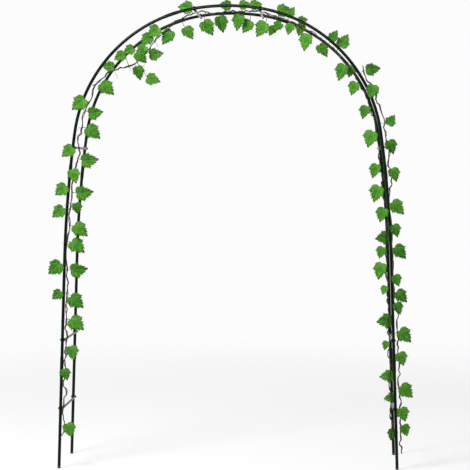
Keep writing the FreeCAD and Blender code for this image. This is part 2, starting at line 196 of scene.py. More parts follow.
def unit(vectors):
    """Vectors divided by their lengths, along the last axis."""
    return vectors / np.linalg.norm(vectors, axis=-1, keepdims=True)


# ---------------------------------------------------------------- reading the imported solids


def triangles_of(mesh):
    """Points of a mesh, with doubled ones merged, and the corners of its triangles."""
    mesh.calc_loop_triangles()
    points = np.empty(len(mesh.vertices) * 3)
    mesh.vertices.foreach_get("co", points)
    corners = np.empty(len(mesh.loop_triangles) * 3, int)
    mesh.loop_triangles.foreach_get("vertices", corners)
    points = points.reshape(-1, 3)
    cells = np.round(points / WELD).astype(np.int64)
    _, first, merged = np.unique(cells, axis=0, return_index=True, return_inverse=True)
    return points[first], merged.reshape(-1)[corners].reshape(-1, 3)


def loose_parts(node):
    """Points and triangles of each separate solid of a node.

    Labels spread over shared corners until they rest.
    """
    points, corners = triangles_of(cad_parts[node].data)
    labels = np.arange(len(points))
    while True:
        lowest = labels[corners].min(axis=1)
        spread = labels.copy()
        np.minimum.at(spread, corners.ravel(), np.repeat(lowest, 3))
        spread = spread[spread]
        if np.array_equal(spread, labels):
            break
        labels = spread
    owner = labels[corners[:, 0]]
    return [(points, corners[owner == label]) for label in np.unique(owner)]


def blade_frame(points, corners):
    """Where a leaf lies: (base, midrib, side, top face, length).

    The four largest flat faces are the two halves' tops and bottoms. The tops' normals lean towards
    each other. Their cross product is the midrib, and their sum the direction that the leaf faces.
    """
    spots = points[corners]
    across = np.cross(spots[:, 1] - spots[:, 0], spots[:, 2] - spots[:, 0])
    area = np.linalg.norm(across, axis=1) / 2
    corners, spots, across, area = (a[area > 0] for a in (corners, spots, across, area))
    normals = unit(across)
    _, group = np.unique(np.round(normals, 2), axis=0, return_inverse=True)
    group = group.reshape(-1)
    flats = np.argsort(np.bincount(group, area))[-4:]

    def by_flat(values):
        return [np.average(values[group == flat], axis=0, weights=area[group == flat]) for flat in flats]

    facing, middle = by_flat(normals), by_flat(spots.mean(axis=1))
    for i in range(len(flats)):
        for j in range(i + 1, len(flats)):
            leaning = (middle[i] - middle[j]) @ facing[i] < 0
            if facing[i] @ facing[j] > 0.5 and leaning:
                top = unit(facing[i] + facing[j])
                midrib = unit(np.cross(facing[i], facing[j]))
    blade = np.isin(group, flats)
    along = spots[blade] @ midrib
    centre = np.average(along.mean(axis=1), weights=area[blade])
    if along.max() - centre < centre - along.min():
        midrib, along = -midrib, -along
    length = (along.max() - along.min()) / (1 + BASAL_LOBES)
    edge = spots[blade].reshape(-1, 3)
    tip = edge[np.abs(edge @ midrib - along.max()) < SAME_SPOT]
    tip = tip[np.argmin(tip @ top)]
    return tip - midrib * length, midrib, np.cross(top, midrib), top, length


def stem_line(node):
    """Points along a stem's middle, from its left end to its right one, a step apart.

    Each point of the solid's skin steps in by the stem's radius, against its normal, so that a whole
    ring of them meets in one point of the middle. Those points are put in order by their turn about
    the middle of the arch, and a line is drawn through them.
    """
    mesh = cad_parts[node].data
    corners = np.empty(len(mesh.loops), int)
    mesh.loops.foreach_get("vertex_index", corners)
    points = np.empty(len(mesh.vertices) * 3)
    mesh.vertices.foreach_get("co", points)
    normals = np.empty(len(mesh.loops) * 3)
    mesh.corner_normals.foreach_get("vector", normals)
    inner = points.reshape(-1, 3)[corners] - normals.reshape(-1, 3) * STEM_RADIUS
    spots, count = np.unique(np.round(inner / CELL), axis=0, return_counts=True)
    spots = spots[count >= STEM_RING_CORNERS] * CELL
    turn = np.arctan2(spots[:, 0], spots[:, 2] - solid_high.z / 2)
    spots = spots[np.argsort(turn)]
    apart = np.linalg.norm(np.diff(spots, axis=0), axis=1) > SAME_SPOT
    return even_steps(spots[np.concatenate([[True], apart])], STEM_STEP)


def even_steps(points, step):
    """The line through some points, cut into equal steps by its length."""
    run = np.concatenate([[0], np.cumsum(np.linalg.norm(np.diff(points, axis=0), axis=1))])
    places = np.linspace(0, run[-1], max(2, round(run[-1] / step) + 1))
    return np.stack([np.interp(places, run, points[:, axis]) for axis in range(3)], axis=1)


# ---------------------------------------------------------------- surfaces


def between_rings(start, around):
    """Corners of the faces that join each ring to the next, and the last ring to the first.

    start holds the number of each ring's first point.
    """
    corner = np.arange(around)
    onward = (corner + 1) % around
    here, there = start[:, None], np.roll(start, -1)[:, None]
    return np.stack([here + corner, here + onward, there + onward, there + corner], axis=-1)


def signed_volume(faces, skin):
    """Sum of corner determinants over the triangles of each face: above 0 where the faces look out."""
    volume = 0.0
    for k in range(1, faces.shape[1] - 1):
        across = np.cross(skin[faces[:, k]], skin[faces[:, k + 1]])
        volume += np.einsum("ij,ij->i", skin[faces[:, 0]], across).sum()
    return volume


def repeated(faces, skins, size, outward):
    """The faces of one skin repeated for all, turned over unless they look out."""
    faces = faces if outward else faces[:, ::-1]
    return (faces + size * np.arange(skins)[:, None, None]).reshape(-1, faces.shape[1]).tolist()


def hoop_skins(name, rings, finish):
    """One piece of several skins that close both ways, such as nuts: rings (skin, ring, corner, 3)."""
    skins, count, around, _ = rings.shape
    quads = between_rings(around * np.arange(count), around).reshape(-1, 4)
    outward = signed_volume(quads, rings[0].reshape(-1, 3)) > 0
    faces = repeated(quads, skins, count * around, outward)
    return new_piece(name, rings.reshape(-1, 3), faces, finish)


def new_piece(name, points, faces, finish):
    """A smooth mesh with one finish, as a piece of the frame."""
    mesh = bpy.data.meshes.new(name)
    mesh.from_pydata(points, [], faces)
    mesh.shade_smooth()
    mesh.materials.append(finish)
    piece = bpy.data.objects.new(name, mesh)
    bpy.context.scene.collection.objects.link(piece)
    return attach(piece, "root")


def closed_skins(name, rings, first, last, finish, notes=None):
    """One piece of several closed skins: rings (skin, ring, corner, 3), with a point at each end.

    Neighbouring rings are joined by four-cornered faces, and each end ring by a fan to its point.
    notes are per-point numbers of the same order, as {attribute: (rings, first, last)}.
    """
    skins, count, around, _ = rings.shape
    size = count * around + 2
    points = np.concatenate([first[:, None], rings.reshape(skins, -1, 3), last[:, None]], axis=1)
    quads = between_rings(1 + around * np.arange(count), around)[:-1].reshape(-1, 4)
    corner = np.arange(around)
    onward = (corner + 1) % around
    end = size - 1 - around
    fans = np.concatenate([np.stack([0 * corner, 1 + onward, 1 + corner], axis=-1),
                           np.stack([0 * corner + size - 1, end + corner, end + onward], axis=-1)])
    outward = signed_volume(fans, points[0]) + signed_volume(quads, points[0]) > 0
    faces = repeated(quads, skins, size, outward) + repeated(fans, skins, size, outward)
    piece = new_piece(name, points.reshape(-1, 3), faces, finish)
    for label, (middle, start, stop) in (notes or {}).items():
        width = middle.shape[-1]
        values = np.concatenate([start[:, None], middle.reshape(skins, -1, width), stop[:, None]], axis=1)
        kind, field = ("FLOAT", "value") if width == 1 else ("FLOAT_VECTOR", "vector")
        note = piece.data.attributes.new(label, kind, "POINT")
        note.data.foreach_set(field, values.astype(np.float32).ravel())
    return piece


def line_frames(line):
    """Direction of travel along a line, and two directions square to it and to each other.

    The first is the cross product of the travel and a direction close to Y, so it lies nearly in the
    plane of the hoops. The second is the cross product of the travel and the first.
    """
    along = unit(np.gradient(line, axis=-2))
    across = unit(np.cross(along, np.array([0.0, 1.0, 0.02])))
    return along, across, np.cross(along, across)


def tubes(lines, radii, sides, ridges=None):
    """Rings about lines (tube, ring, 3): middle + radius * (cos(angle) * across + sin(angle) * up)."""
    _, across, up = line_frames(lines)
    angle = np.linspace(0, 2 * math.pi, sides, endpoint=False)
    reach = radii[..., None] * (1 if ridges is None else ridges)
    wide = (reach * np.cos(angle))[..., None] * across[..., None, :]
    high = (reach * np.sin(angle))[..., None] * up[..., None, :]
    return lines[..., None, :] + wide + high


# ---------------------------------------------------------------- screws and nuts


def shaft_frames(node):
    """Each solid's outer end, its inward axis, two directions square to that, and its length.

    The axis lies in the plane of the hoop. Of the two main directions of the solid's points that lie
    there, it is the longer one for a screw and the shorter one for a nut. It points inwards.
    """
    frames = []
    for points, corners in loose_parts(node):
        own = points[np.unique(corners)]
        middle = (own.min(axis=0) + own.max(axis=0)) / 2
        spreads = np.linalg.svd(own - own.mean(axis=0), full_matrices=False)[2]
        flat = spreads[np.argsort(np.abs(spreads[:, 1]))[:2]]
        reach = np.ptp((own - middle) @ flat.T, axis=0)
        axis = flat[np.argmax(reach) if node == "rung_screws" else np.argmin(reach)]
        centre = np.array([0.0, middle[1], solid_high.z / 2])
        axis = axis * np.sign((centre - middle) @ axis)
        along = own @ axis
        outer = middle + axis * (along.min() - middle @ axis)
        side = np.array([0.0, 1.0, 0.0])
        frames.append((outer, axis, side, np.cross(axis, side), np.ptp(along)))
    return [np.array(part) for part in zip(*frames)]


def turned(frames, depth, radius, angle):
    """Points at a depth along each axis, a radius from it, and an angle about it."""
    outer, axis, side, other = (part[:, None, None] for part in frames[:4])
    return (outer + axis * depth[..., None] + side * (radius * np.cos(angle))[..., None]
            + other * (radius * np.sin(angle))[..., None])


def screws():
    """Pan heads with a cross recess, and a shank with a thread.

    The head's top falls by the recess's depth where the distance to the nearer arm is under half its
    width and the radius under the arm's length, both with an eased edge. The thread's radius is
    shank - depth * |2 * fraction(depth along / pitch + angle / turn) - 1|.
    """
    frames = shaft_frames("rung_screws")
    outer, axis, _, _, lengths = frames
    length = lengths.mean()
    angle = np.linspace(0, 2 * math.pi, SCREW_SIDES, endpoint=False)
    inner = np.linspace(0, 1, TOP_RINGS + 1)[1:] * (HEAD_RADIUS - HEAD_ROUND)
    bend = np.linspace(0, math.pi / 2, ROUND_RINGS + 1)[1:]
    top_radius = np.concatenate([inner, HEAD_RADIUS - HEAD_ROUND * (1 - np.sin(bend))])[:, None]
    top_depth = np.concatenate([0 * inner, HEAD_ROUND * (1 - np.cos(bend))])[:, None]
    arm = np.minimum(np.abs(np.cos(angle)), np.abs(np.sin(angle))) * top_radius
    slope = RECESS_WIDTH * RECESS_SLOPE
    near = np.clip((RECESS_WIDTH + slope - arm) / slope, 0, 1)
    within = np.clip((RECESS_ARM - top_radius) / RECESS_END, 0, 1)
    head_depth = top_depth + RECESS_DEPTH * near * within
    head_radius = top_radius + 0 * angle
    under_radius = np.array([HEAD_RADIUS, HEAD_RADIUS - HEAD_EDGE, SHANK_RADIUS + FILLET])
    under_radius = under_radius[:, None] + 0 * angle
    under_depth = np.array([HEAD_HEIGHT - HEAD_EDGE, HEAD_HEIGHT, HEAD_HEIGHT])[:, None] + 0 * angle
    steps = round((length - HEAD_HEIGHT) / THREAD_PITCH) * THREAD_RINGS
    shank_depth = np.linspace(HEAD_HEIGHT, length, steps)[:, None] + 0 * angle
    flank = np.abs(2 * np.mod(shank_depth / THREAD_PITCH + angle / (2 * math.pi), 1) - 1)
    point = np.clip((length - shank_depth) / POINT_LENGTH, POINT_SHARE, 1)
    shank_radius = (SHANK_RADIUS - THREAD_DEPTH * flank) * point
    depth = np.concatenate([head_depth, under_depth, shank_depth])[None]
    radius = np.concatenate([head_radius, under_radius, shank_radius])[None]
    rings = turned(frames, depth, radius, angle)
    recess, end = outer + axis * RECESS_DEPTH, outer + axis * length
    piece = closed_skins("screws", rings, recess, end, FINISHES["blackened"])
    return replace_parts(piece, "rung_screws")


def nuts():
    """Hexagon nuts with chamfered corners and a bore.

    The wall's radius is flat / cos(angle to the nearest flat). Where it passes the flat, both ends
    fall back by (radius - flat) * tan(chamfer).
    """
    frames = shaft_frames("rung_nuts")
    height = frames[4].mean()
    angle = np.linspace(0, 2 * math.pi, NUT_COLUMNS, endpoint=False)
    wall = NUT_FLAT / np.cos(np.mod(angle, math.pi / 3) - math.pi / 6)
    face = NUT_FLAT * NUT_CHAMFER_FROM
    cut = (wall - face) * math.tan(NUT_CHAMFER)
    rim = NUT_BORE + NUT_LIP
    radius = np.stack([part + 0 * wall for part in (NUT_BORE, rim, face, wall, wall, face, rim, NUT_BORE)])
    depth = np.stack([part + 0 * wall for part in
                      (NUT_LIP, 0, 0, cut, height - cut, height, height, height - NUT_LIP)])
    rings = turned(frames, depth[None], radius[None], angle)
    piece = hoop_skins("nuts", rings, FINISHES["blackened"])
    piece.data.shade_flat()
    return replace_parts(piece, "rung_nuts")


# ---------------------------------------------------------------- garland


def margin_radius(angle):
    """Distance of a leaf's margin from the stalk, by the angle from the midrib in degrees.

    Pointed lobes and the notches between them are joined by even slopes, from which small teeth are
    cut: radius * (1 - depth * fraction(angle / tooth) * fade). They fade out at the tip and the stalk.
    """
    wide = np.abs(angle)
    radius = np.interp(wide, MARGIN_ANGLES, MARGIN_RADII)
    fade = np.interp(wide, TEETH_ANGLES, (0, 1, 1, 0))
    return radius * (1 - TOOTH_DEPTH * np.mod(wide / TOOTH_ANGLE, 1) * fade)


def vein_distance(along, side):
    """Distance to the nearest of the five main veins, which leave the stalk towards the lobes."""
    gaps = []
    for angle in LOBE_ANGLES:
        for hand in (1, -1):
            cos, sin = math.cos(math.radians(angle)), hand * math.sin(math.radians(angle))
            ahead = along * cos + side * sin > 0
            gaps.append(np.where(ahead, np.abs(side * cos - along * sin), np.hypot(along, side)))
    return np.min(gaps, axis=0)


def blade_height(along, side, share, phase, curl):
    """How far a blade stands out of its flat, in shares of its length.

    The halves fold up from the midrib, tan(fold) * (sqrt(side^2 + round^2) - round). The blade bulges
    between its veins, its margin ripples as share^3 * sin(ripples * angle + phase), and its tip
    curls back with the square of the distance past a place short of its middle.
    """
    fold = math.tan(BLADE_FOLD) * (np.hypot(side, FOLD_ROUND) - FOLD_ROUND)
    bulge = BULGE * (1 - np.exp(-(vein_distance(along, side) / BULGE_WIDTH) ** 2)) * (1 - share ** 4)
    wave = RIPPLE * share ** 3 * np.sin(RIPPLES * np.arctan2(side, along) + phase)
    tip = -curl * np.clip(along - CURL_FROM, 0, None) ** 2
    return fold + bulge + wave + tip


def kept_in_box(rings, base):
    """Blades drawn smaller about their bases, by just enough to stay in the box of the solids."""
    reach = rings - base
    low_room, high_room = (np.array(corner) - base for corner in (solid_low, solid_high))
    with np.errstate(divide="ignore"):
        share = np.where(reach > 0, high_room / reach, low_room / reach).min(axis=(1, 2, 3), keepdims=True)
    return base + reach * np.clip(share - BOX_MARGIN, 0.5, 1)


def kept_apart(rings, base, middles):
    """Blades drawn smaller about their bases, step by step, until they clear the stems and each other.

    A blade is compared with the points of the stems' middles that lie within its reach, and with the
    blades of its own stretch of garland that come before it.
    """
    _, count, around, _ = rings.shape
    quads = between_rings(around * np.arange(count), around)[:-1].reshape(-1, 4).tolist()
    kept, trees = [], []
    for blade, start in zip(rings, base[:, 0, 0]):
        near = middles[np.linalg.norm(middles - start, axis=1) < BLADE_REACH]
        for share in np.arange(1, SMALLEST, -SMALLER_STEP):
            points = (start + (blade - start) * share).reshape(-1, 3)
            tree = BVHTree.FromPolygons(points.tolist(), quads)
            gap = np.linalg.norm(points[:, None] - near, axis=2).min(initial=1)
            if gap > STEM_RADIUS + 3 * STEM_GAP and not any(tree.overlap(other) for other in trees):
                break
        kept.append(points.reshape(blade.shape))
        trees.append(tree)
    return np.array(kept)


def leaf_blades(name, places, node, middles):
    """Blades of one stretch of garland: two skins a thickness apart that meet at the margin.

    A blade's point is base + length * (along * midrib + side * side direction + height * top), with
    along = share * radius(angle) * cos(angle) and side = share * radius(angle) * sin(angle).
    """
    base, midrib, side_way, top, length = (np.array(part) for part in zip(*places))
    leaves = len(length)
    angle = np.linspace(-180, 180, BLADE_COLUMNS, endpoint=False) + 180 / BLADE_COLUMNS
    share = np.linspace(0, 1, BLADE_RINGS + 1)[1:, None] ** RING_SPREAD
    plump = 1 - BLADE_NARROWER * chance.uniform(0, 1, (leaves, 1, 1))
    skew = BLADE_SKEW * chance.uniform(-1, 1, (leaves, 1, 1))
    reach = margin_radius(angle) * share
    along = reach * np.cos(np.radians(angle)) * np.ones((leaves, 1, 1))
    side = reach * np.sin(np.radians(angle)) * (plump + skew * (np.sign(angle) - 1) / 2)
    phase = chance.uniform(0, 2 * math.pi, (leaves, 1, 1))
    curl = chance.uniform(0.0, CURL, (leaves, 1, 1))
    height = blade_height(along, side, share, phase, curl)
    size = length[:, None, None]
    thick = BLADE_THICKNESS * (1 - MARGIN_THINNER * share ** 6)
    off_vein = vein_distance(along, side) * size
    groove = GROOVE_DEPTH * np.exp(-(off_vein / GROOVE_WIDTH) ** 2) * (1 - share ** 3)
    upper = height * size + BLADE_LIFT - groove
    lower = height * size + BLADE_LIFT - thick - RIDGE_SHARE * groove
    start, midribs, sides, tops = (way[:, None, None] for way in (base, midrib, side_way, top))
    flat = start + ((along * size)[..., None] * midribs + (side * size)[..., None] * sides)
    over, under = (flat + high[..., None] * tops for high in (upper, lower))
    rings = np.concatenate([over, under[:, ::-1]], axis=1)
    rings = kept_apart(kept_in_box(rings, start), start, middles)
    tone = np.broadcast_to(chance.uniform(0, 1, (leaves, 1, 1)), along.shape)
    spot = np.stack([along, side, tone], axis=-1)
    face = np.ones_like(along)[..., None]
    rim = share[..., None] * face
    none, full = np.zeros((leaves, 1)), np.ones((leaves, 1))
    here = np.concatenate([none, none, tone[:, 0, :1]], axis=1)
    notes = {"blade": (np.concatenate([spot, spot[:, ::-1]], axis=1), here, here),
             "upper": (np.concatenate([face, 0 * face], axis=1), full, none),
             "margin": (np.concatenate([rim, rim[:, ::-1]], axis=1), none, none)}
    crest, keel = base + top * BLADE_LIFT, base + top * (BLADE_LIFT - BLADE_THICKNESS)
    piece = closed_skins(name, rings, crest, keel, FINISHES["leaf"], notes)
    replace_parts(piece, node)
    return piece


def leaf_stalks(name, roots, joins, midribs):
    """Stalks on a curve of the third degree from the stem to the blade, thicker at both ends.

    It leaves the stem towards the blade, bowed upwards, and comes to the blade along the midrib.
    """
    share = np.linspace(0, 1, STALK_RINGS)[:, None]
    gap = np.linalg.norm(joins - roots, axis=1)[:, None]
    away = roots + (joins - roots) / 3 + np.array([0, 0, 1]) * gap * STALK_BOW
    near = joins - midribs * np.minimum(gap / 3, STALK_STRAIGHT)
    terms = [(1 - share) ** 3, 3 * (1 - share) ** 2 * share, 3 * (1 - share) * share ** 2, share ** 3]
    lines = sum(term * point[:, None] for term, point in zip(terms, (roots, away, near, joins)))
    (foot, foot_reach), (top, top_reach) = STALK_FOOT, STALK_TOP
    swell = 1 + foot * np.exp(-(share / foot_reach) ** 2) + top * np.exp(-((1 - share) / top_reach) ** 2)
    radii = STALK_RADIUS * swell[:, 0] * np.ones((len(roots), 1))
    rings = tubes(lines, radii, STALK_SIDES)
    return closed_skins(name, rings, lines[:, 0], lines[:, -1], FINISHES["stalk"])


def surfaces(meshes):
    """A search tree over the triangles of several meshes."""
    parts = [triangles_of(mesh) for mesh in meshes]
    starts = np.cumsum([0] + [len(points) for points, _ in parts])
    corners = np.concatenate([own + start for (_, own), start in zip(parts, starts)])
    return BVHTree.FromPolygons(np.concatenate([points for points, _ in parts]).tolist(), corners.tolist())


def clearance(points, around):
    """Distance from each point of a line to the nearest surface."""
    return np.array([around.find_nearest(point)[3] for point in points.tolist()])


def vine_stem(name, line, nodes_at, around, node):
    """Stem wound with tape, thicker in the open and where a stalk leaves it.

    Each turn of tape overlaps the one before: radius * (1 + step * (fraction(run / pitch + angle /
    turn) - 1/2)). Between the stalks the stem wanders about the solid's line. Its wandering and its
    thickness each take no more than a share of the spare room, which is the distance from the
    solid's skin to the nearest surface, less a gap.
    """
    count = len(line)
    run = np.arange(count) * STEM_STEP
    slow = chance.standard_normal((count // DRIFT_STEPS + 3, 2))
    places = np.arange(count) / DRIFT_STEPS
    drift = np.stack([np.interp(places, np.arange(len(slow)), slow[:, way]) for way in (0, 1)], axis=1)
    _, across, up = line_frames(line)
    spare = np.clip(clearance(line, around) - STEM_RADIUS - STEM_GAP, 0, None)
    gap = np.linalg.norm(line[:, None] - nodes_at[None], axis=2).min(axis=1)
    free = np.minimum(STEM_WANDER, WANDER_ROOM * spare) * (1 - np.exp(-(gap / STEM_HELD) ** 2))
    wander = free[:, None] * np.clip(drift, -1, 1)
    line = line + across * wander[:, :1] + up * wander[:, 1:]
    swell = NODE_SWELL * np.exp(-(gap / NODE_REACH) ** 2)
    rough = STEM_ROUGH * chance.standard_normal(count)
    added = np.minimum(STEM_RADIUS * (STEM_THICKER + swell), THICKER_ROOM * spare)
    radii = STEM_RADIUS * STEM_THINNER * (1 + rough) + added
    angle = np.linspace(0, 2 * math.pi, STEM_SIDES, endpoint=False)
    ridges = 1 - TAPE_STEP / 2 + TAPE_STEP * np.mod(run[:, None] / TAPE_PITCH + angle / (2 * math.pi), 1)
    rings = tubes(line[None], radii[None], STEM_SIDES, ridges=ridges[None])
    piece = closed_skins(name, rings, line[None, 0], line[None, -1], FINISHES["tape"])
    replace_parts(piece, node)
    second_strand(name + "_strand", line, across, up, spare)


def second_strand(name, line, across, up, spare):
    """A thinner strand that winds round a stem, and lies in it at its ends and where there is no room.

    Its middle is line + reach * (cos(turn) * across + sin(turn) * up), where the turn and the reach
    change slowly and unevenly along the stem, and the reach keeps to a share of the spare room.
    """
    count = len(line)
    steps = np.arange(count)
    knots = np.arange(0, count + STRAND_KNOT, STRAND_KNOT)
    turn = np.interp(steps, knots, np.cumsum(chance.uniform(*STRAND_TURNS, len(knots))))
    reach = np.interp(steps, knots, chance.uniform(*STRAND_REACHES, len(knots)) * STRAND_REACH)
    ends = np.clip(np.minimum(steps, steps[::-1]) / STRAND_END, 0, 1)
    reach = np.minimum(reach, STRAND_ROOM * spare) * ends
    strand = line + (reach * np.cos(turn))[:, None] * across + (reach * np.sin(turn))[:, None] * up
    rings = tubes(strand[None], STRAND_RADIUS * np.ones((1, count)), STALK_SIDES)
    return closed_skins(name, rings, strand[None, 0], strand[None, -1], FINISHES["tape"])


def tendrils(roots, joins, around):
    """Thin curls that leave a stem opposite to a leaf, droop, and end in a small coil.

    With t from 0 to 1: root + reach * (t * away + t^2 * down / 2) + coil * t * (cos, sin)(turn * t^1.5),
    where away points from the blade to the stem and lies in the hoops' plane. Only those that keep
    clear of the steel and the blades, and below the crown, are drawn.
    """
    share = np.linspace(0, 1, TENDRIL_RINGS)[:, None]
    away = unit((roots - joins) * np.array([1.0, 0.0, 1.0]))
    reach = chance.uniform(*TENDRIL_REACH, (len(roots), 1, 1))
    spin = chance.choice([-1.0, 1.0], (len(roots), 1, 1)) * TENDRIL_TURN * share ** 1.5
    coil = TENDRIL_COIL * share
    curl = np.concatenate([np.cos(spin), 0 * spin, np.sin(spin)], axis=2) * coil
    lines = roots[:, None] + reach * (share * away[:, None] - share ** 2 * np.array([0, 0, 0.5])) + curl
    apart = clearance(lines.reshape(-1, 3), around).reshape(len(roots), -1).min(axis=1)
    lines = lines[(apart > 2 * TENDRIL_RADIUS) & (lines[..., 2].max(axis=1) < TENDRIL_TOP)]
    radii = TENDRIL_RADIUS * (1 - TENDRIL_THINNER * share[:, 0]) * np.ones((len(lines), 1))
    rings = tubes(lines, radii, TENDRIL_SIDES)
    return closed_skins("tendrils", rings, lines[:, 0], lines[:, -1], FINISHES["tape"])


def named(start):
    """The nodes whose names have this start, in the order of their names."""
    return [node for node in sorted(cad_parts) if node.startswith(start)]


def garland():
    """Blades and stalks first, then the stems and tendrils in the room that those and the steel leave.

    A leaf's root is the point of the stems' middles that lies nearest to its solid.
    """
    lines = {node: stem_line(node) for node in named("garland_stem_")}
    middles = np.concatenate(list(lines.values()))
    joined, held, blades = [], [], []
    for node in named("leaves_"):
        places, roots = [], []
        for points, corners in loose_parts(node):
            places.append(blade_frame(points, corners))
            own = points[np.unique(corners)]
            gaps = np.linalg.norm(middles[:, None] - own[None], axis=2)
            roots.append(middles[np.argmin(gaps.min(axis=1))])
        stretch = node.removeprefix("leaves_")
        blades.append(leaf_blades("blades_" + stretch, places, node, middles))
        base, midrib, _, top, _ = (np.array(part) for part in zip(*places))
        joins = base + midrib * STALK_INTO_BLADE + top * BLADE_LIFT / 2
        leaf_stalks("stalks_" + stretch, np.array(roots), joins, midrib)
        joined += roots
        held += list(joins)
    joined, held = np.array(joined), np.array(held)
    steel = [solid.data for node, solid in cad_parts.items()
             if not node.startswith(("garland_", "leaves_"))]
    around = surfaces(steel + [piece.data for piece in blades])
    for node, line in lines.items():
        vine_stem(node.removeprefix("garland_"), line, joined, around, node)
    tendrils(joined[::TENDRIL_EVERY], held[::TENDRIL_EVERY], around)


# ---------------------------------------------------------------- finishes


class Signal:
    """A node's output. Arithmetic on it adds Math nodes."""

    def __init__(self, finish, socket):
        self.finish, self.socket = finish, socket

    def math(self, operation, *others, first=None):
        values = [self if first is None else first, *others]
        return self.finish.node("ShaderNodeMath", {"operation": operation}, dict(enumerate(values)))

    def __add__(self, other):
        return self.math("ADD", other)

    def __sub__(self, other):
        return self.math("SUBTRACT", other)

    def __rsub__(self, other):
        return self.math("SUBTRACT", self, first=other)

    def __mul__(self, other):
        return self.math("MULTIPLY", other)

    def __truediv__(self, other):
        return self.math("DIVIDE", other)

    def __pow__(self, other):
        return self.math("POWER", other)

    __radd__ = __add__
    __rmul__ = __mul__

    def size(self):
        return self.math("ABSOLUTE")

    def most(self, other):
        return self.math("MAXIMUM", other)

    def ease(self, low, high):
        """0 below low and 1 above high, or the other way round where high is the lower one."""
        lowest, highest = (0.0, 1.0) if low < high else (1.0, 0.0)
        return self.finish.node(
            "ShaderNodeMapRange", {"interpolation_type": "SMOOTHSTEP"},
            {"Value": self, "From Min": min(low, high), "From Max": max(low, high),
             "To Min": lowest, "To Max": highest})


class Finish:
    """A material, or the world, whose nodes are added one by one."""

    def __init__(self, name, world=False):
        self.material = (bpy.data.worlds if world else bpy.data.materials).new(name)
        self.material.use_nodes = True
        self.tree = self.material.node_tree
        self.tree.nodes.clear()
        self.out = self.tree.nodes.new("ShaderNodeOutputWorld" if world else "ShaderNodeOutputMaterial")

    def node(self, kind, settings=None, sockets=None, output=0):
        """Adds a node, makes its settings first, then sets or links its sockets."""
        made = self.tree.nodes.new(kind)
        for label, value in (settings or {}).items():
            setattr(made, label, value)
        for label, value in (sockets or {}).items():
            if isinstance(value, Signal):
                self.tree.links.new(value.socket, made.inputs[label])
            else:
                made.inputs[label].default_value = value
        return Signal(self, made.outputs[output])

    def place(self):
        """The object's own coordinates, in metres."""
        return self.node("ShaderNodeTexCoord", output=3)

    def noise(self, at, scale, detail=3.0, rough=0.5):
        return self.node("ShaderNodeTexNoise", None,
                         {"Vector": at, "Scale": scale, "Detail": detail, "Roughness": rough})

    def blend(self, share, first, second):
        """Colour from first at 0 to second at 1."""
        first, second = (c if isinstance(c, Signal) else (*c, 1) for c in (first, second))
        return self.node("ShaderNodeMix", {"data_type": "RGBA"}, {0: share, 6: first, 7: second}, output=2)

    def bump(self, height, strength, depth):
        return self.node("ShaderNodeBump", None, {"Height": height, "Strength": strength, "Distance": depth})

    def coat(self, **sockets):
        """Closes the finish with one Principled surface."""
        names = {label.replace("_", " ").title().replace("Ior", "IOR"): value
                 for label, value in sockets.items()}
        if isinstance(names["Base Color"], tuple):
            names["Base Color"] = (*names["Base Color"], 1)
        return self.close(self.node("ShaderNodeBsdfPrincipled", None, names))

    def close(self, shader):
        self.tree.links.new(shader.socket, self.out.inputs["Surface"])
        return self.material


def enamel():
    """Gloss powder coat, very dark green: faint orange peel, slow changes of tone, dust near the ground."""
    f = Finish("dark_green_enamel")
    at = f.place()
    height = f.node("ShaderNodeSeparateXYZ", None, {"Vector": at}, output=2)
    tone = f.noise(at, 9.0, 3.0)
    colour = f.blend(tone.ease(0.3, 0.7), (0.001, 0.006, 0.002), (0.003, 0.012, 0.005))
    dust = height.ease(0.16, 0.0) * f.noise(at, 60.0, 4.0, 0.6).ease(0.45, 0.75) * 0.35
    colour = f.blend(dust, colour, (0.09, 0.085, 0.07))
    peel = f.noise(at, 900.0, 2.0)
    rough = 0.08 + f.noise(at, 35.0, 4.0).ease(0.3, 0.8) * 0.05 + dust * 0.4
    return f.coat(base_color=colour, roughness=rough, specular_ior_level=0.06,
                  normal=f.bump(peel, 0.03, 0.2 * MM))


